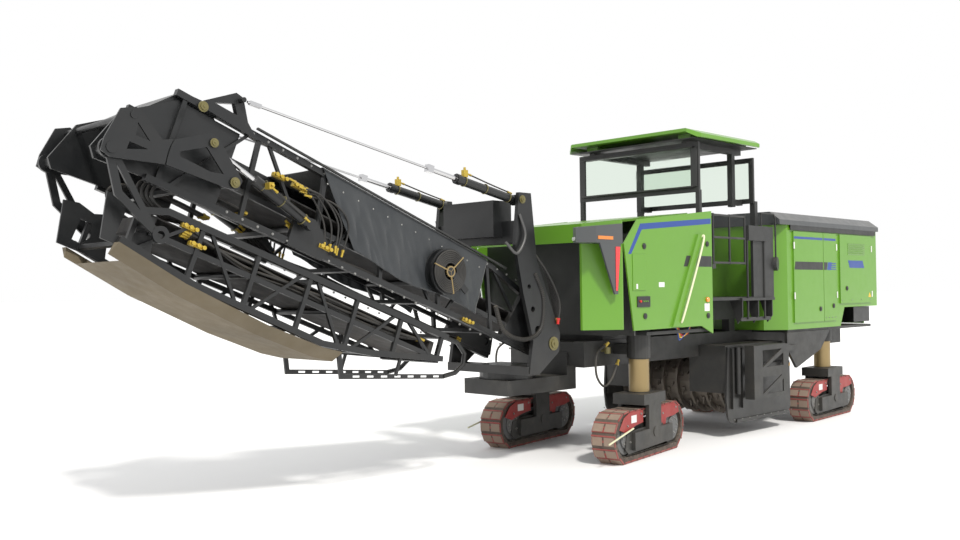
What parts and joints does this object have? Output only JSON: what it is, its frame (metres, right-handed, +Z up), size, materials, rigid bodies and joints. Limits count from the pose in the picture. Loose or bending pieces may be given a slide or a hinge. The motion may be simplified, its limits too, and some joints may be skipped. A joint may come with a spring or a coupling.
{
  "type": "cold planer",
  "caption": "Crawler road milling machine with a folded discharge conveyor, operator canopy, hinged engine doors and a milling drum between its legs.",
  "frame": {"origin": "on the ground under the middle of the parked machine", "axes": "+Z up, the machine faces -Y with its folded conveyor, its left side is +X"},
  "size_m": [2.56, 13.1688, 4.22],
  "materials": {
    "lime_paint": "gloss",
    "charcoal_paint": "satin",
    "black_paint": "satin",
    "crawler_red": "satin",
    "rubber": "matt",
    "polished_rod": "polished",
    "bare_steel": "worn",
    "engine_casting": "painted",
    "tan_sheet": "matt",
    "tarpaulin": "matt",
    "window_glass": "clear"
  },
  "bodies": {
    "chassis": {"canopy_frame": "charcoal_paint", "canopy_roof": "lime_paint", "console": "charcoal_paint", "drum_housing": "charcoal_paint", "engine": "engine_casting", "front_cowl": "lime_paint", "lamp_cap_left": "charcoal_paint", "lamp_cap_right": "charcoal_paint", "leg_sleeve_front_left": "charcoal_paint", "leg_sleeve_front_right": "charcoal_paint", "leg_sleeve_rear_left": "charcoal_paint", "leg_sleeve_rear_right": "charcoal_paint", "main_frame": "charcoal_paint", "platform": "charcoal_paint", "rear_box": "charcoal_paint", "rear_glass": "window_glass", "rear_shell": "lime_paint", "side_panel_left": "lime_paint", "side_panel_right": "lime_paint", "skirt_left": "charcoal_paint", "skirt_right": "charcoal_paint", "windshield_glass": "window_glass"},
    "leg_front_left": {"yoke_front_left": "charcoal_paint", "track_front_left": "crawler_red"},
    "leg_front_right": {"yoke_front_right": "charcoal_paint", "track_front_right": "crawler_red"},
    "leg_rear_left": {"yoke_rear_left": "charcoal_paint", "track_rear_left": "crawler_red"},
    "leg_rear_right": {"yoke_rear_right": "charcoal_paint", "track_rear_right": "crawler_red"},
    "milling_drum": {"milling_drum": "bare_steel"},
    "scraper": {"scraper": "charcoal_paint"},
    "side_plate_left": {"side_plate_left": "charcoal_paint"},
    "side_plate_right": {"side_plate_right": "charcoal_paint"},
    "door_front_left": {"door_front_left": "lime_paint"},
    "door_middle_left": {"door_middle_left": "lime_paint"},
    "door_rear_left": {"door_rear_left": "lime_paint"},
    "gate_left": {"gate_left": "charcoal_paint"},
    "door_front_right": {"door_front_right": "lime_paint"},
    "door_middle_right": {"door_middle_right": "lime_paint"},
    "door_rear_right": {"door_rear_right": "lime_paint"},
    "gate_right": {"gate_right": "charcoal_paint"},
    "engine_hood": {"engine_hood": "charcoal_paint"},
    "slew_frame": {"slew_frame": "black_paint"},
    "boom": {"boom_rear": "black_paint", "belt_rear": "rubber", "boom_tarp": "tarpaulin", "hose_reel": "rubber"},
    "front_boom": {"boom_front": "black_paint", "belt_front": "rubber", "front_cover": "tan_sheet"},
    "fold_crank": {"fold_crank": "black_paint"},
    "fold_barrel_left": {"fold_barrel_left": "charcoal_paint"},
    "fold_rod_left": {"fold_rod_left": "polished_rod"},
    "lift_barrel_left": {"lift_barrel_left": "charcoal_paint"},
    "lift_rod_left": {"lift_rod_left": "polished_rod"},
    "fold_barrel_right": {"fold_barrel_right": "charcoal_paint"},
    "fold_rod_right": {"fold_rod_right": "polished_rod"},
    "lift_barrel_right": {"lift_barrel_right": "charcoal_paint"},
    "lift_rod_right": {"lift_rod_right": "polished_rod"}
  },
  "joints": [
    {"name": "conveyor_slew", "type": "hinge", "parent": "chassis", "child": "slew_frame", "pos_m": [0, -1.2456, 0], "axis": [0, 0, 1], "range_deg": [-40, 40]},
    {"name": "conveyor_lift", "type": "hinge", "parent": "slew_frame", "child": "boom", "pos_m": [0, -1.1756, 1.45], "axis": [-1, 0, 0], "range_deg": [-14, 7.5]},
    {"name": "conveyor_fold", "type": "hinge", "parent": "boom", "child": "front_boom", "pos_m": [0, -6.49865, 3.26518], "axis": [-1, 0, 0], "range_deg": [0, 172]},
    {"name": "fold_crank_turn", "type": "hinge", "parent": "boom", "child": "fold_crank", "pos_m": [0, -5.39035, 3.05504], "axis": [-1, 0, 0], "range_deg": [-1, 62]},
    {"name": "lift_cylinder_left", "type": "hinge", "parent": "slew_frame", "child": "lift_barrel_left", "pos_m": [0.567, -1.6856, 3.12], "axis": [-1, 0, 0], "range_deg": [-18, 10]},
    {"name": "lift_rod_left", "type": "slide", "parent": "lift_barrel_left", "child": "lift_rod_left", "axis": [0, -0.9811, 0.1933], "range_m": [-0.22, 0.4]},
    {"name": "fold_cylinder_left", "type": "hinge", "parent": "boom", "child": "fold_barrel_left", "pos_m": [0.6, -4.54294, 2.72332], "axis": [-1, 0, 0], "range_deg": [-1, 15]},
    {"name": "fold_rod_left", "type": "slide", "parent": "fold_barrel_left", "child": "fold_rod_left", "axis": [0, -0.8452, 0.5345], "range_m": [-0.31, 0.005]},
    {"name": "lift_cylinder_right", "type": "hinge", "parent": "slew_frame", "child": "lift_barrel_right", "pos_m": [-0.567, -1.6856, 3.12], "axis": [-1, 0, 0], "range_deg": [-18, 10]},
    {"name": "lift_rod_right", "type": "slide", "parent": "lift_barrel_right", "child": "lift_rod_right", "axis": [0, -0.9811, 0.1933], "range_m": [-0.22, 0.4]},
    {"name": "fold_cylinder_right", "type": "hinge", "parent": "boom", "child": "fold_barrel_right", "pos_m": [-0.6, -4.54294, 2.72332], "axis": [-1, 0, 0], "range_deg": [-1, 15]},
    {"name": "fold_rod_right", "type": "slide", "parent": "fold_barrel_right", "child": "fold_rod_right", "axis": [0, -0.8452, 0.5345], "range_m": [-0.31, 0.005]},
    {"name": "steer_front_left", "type": "hinge", "parent": "chassis", "child": "leg_front_left", "pos_m": [0.93, 0.1744, 0], "axis": [0, 0, 1], "range_deg": [-30, 15]},
    {"name": "steer_front_right", "type": "hinge", "parent": "chassis", "child": "leg_front_right", "pos_m": [-0.93, 0.1744, 0], "axis": [0, 0, 1], "range_deg": [-30, 15]},
    {"name": "steer_rear_left", "type": "hinge", "parent": "chassis", "child": "leg_rear_left", "pos_m": [0.93, 5.1244, 0], "axis": [0, 0, 1], "range_deg": [-20, 14]},
    {"name": "steer_rear_right", "type": "hinge", "parent": "chassis", "child": "leg_rear_right", "pos_m": [-0.93, 5.1244, 0], "axis": [0, 0, 1], "range_deg": [-20, 14]},
    {"name": "drum_spin", "type": "hinge", "parent": "chassis", "child": "milling_drum", "pos_m": [0, 2.8344, 0.72], "axis": [1, 0, 0], "continuous": true},
    {"name": "scraper_lift", "type": "slide", "parent": "chassis", "child": "scraper", "axis": [0, 0, 1], "range_m": [-0.15, 0.1]},
    {"name": "side_plate_lift_left", "type": "slide", "parent": "chassis", "child": "side_plate_left", "axis": [0, 0, 1], "range_m": [-0.19, 0.25]},
    {"name": "side_plate_lift_right", "type": "slide", "parent": "chassis", "child": "side_plate_right", "axis": [0, 0, 1], "range_m": [-0.19, 0.25]},
    {"name": "hood_lift", "type": "hinge", "parent": "chassis", "child": "engine_hood", "pos_m": [0, 3.2044, 3.19], "axis": [1, 0, 0], "range_deg": [0, 45]},
    {"name": "door_front_left", "type": "hinge", "parent": "chassis", "child": "door_front_left", "pos_m": [1.26, 3.6144, 0], "axis": [0, 0, -1], "range_deg": [0, 100]},
    {"name": "door_middle_left", "type": "hinge", "parent": "chassis", "child": "door_middle_left", "pos_m": [1.26, 5.0344, 0], "axis": [0, 0, 1], "range_deg": [0, 100]},
    {"name": "door_rear_left", "type": "hinge", "parent": "chassis", "child": "door_rear_left", "pos_m": [1.26, 6.3244, 0], "axis": [0, 0, 1], "range_deg": [0, 100]},
    {"name": "gate_swing_left", "type": "hinge", "parent": "chassis", "child": "gate_left", "pos_m": [1.22, 1.4444, 0], "axis": [0, 0, -1], "range_deg": [0, 85]},
    {"name": "door_front_right", "type": "hinge", "parent": "chassis", "child": "door_front_right", "pos_m": [-1.26, 3.6144, 0], "axis": [0, 0, 1], "range_deg": [0, 100]},
    {"name": "door_middle_right", "type": "hinge", "parent": "chassis", "child": "door_middle_right", "pos_m": [-1.26, 5.0344, 0], "axis": [0, 0, -1], "range_deg": [0, 100]},
    {"name": "door_rear_right", "type": "hinge", "parent": "chassis", "child": "door_rear_right", "pos_m": [-1.26, 6.3244, 0], "axis": [0, 0, -1], "range_deg": [0, 100]},
    {"name": "gate_swing_right", "type": "hinge", "parent": "chassis", "child": "gate_right", "pos_m": [-1.22, 1.4444, 0], "axis": [0, 0, 1], "range_deg": [0, 85]}
  ],
  "couplings": [
    {"joint": "fold_crank_turn", "follows": "conveyor_fold", "ratio": 0.35},
    {"joint": "lift_cylinder_left", "follows": "conveyor_lift", "ratio": 1.185},
    {"joint": "lift_rod_left", "follows": "conveyor_lift", "m_per_rad": -1.599},
    {"joint": "fold_cylinder_left", "follows": "conveyor_fold", "ratio": 0.0832},
    {"joint": "fold_rod_left", "follows": "conveyor_fold", "m_per_rad": -0.0913},
    {"joint": "lift_cylinder_right", "follows": "conveyor_lift", "ratio": 1.185},
    {"joint": "lift_rod_right", "follows": "conveyor_lift", "m_per_rad": -1.599},
    {"joint": "fold_cylinder_right", "follows": "conveyor_fold", "ratio": 0.0832},
    {"joint": "fold_rod_right", "follows": "conveyor_fold", "m_per_rad": -0.0913}
  ]
}
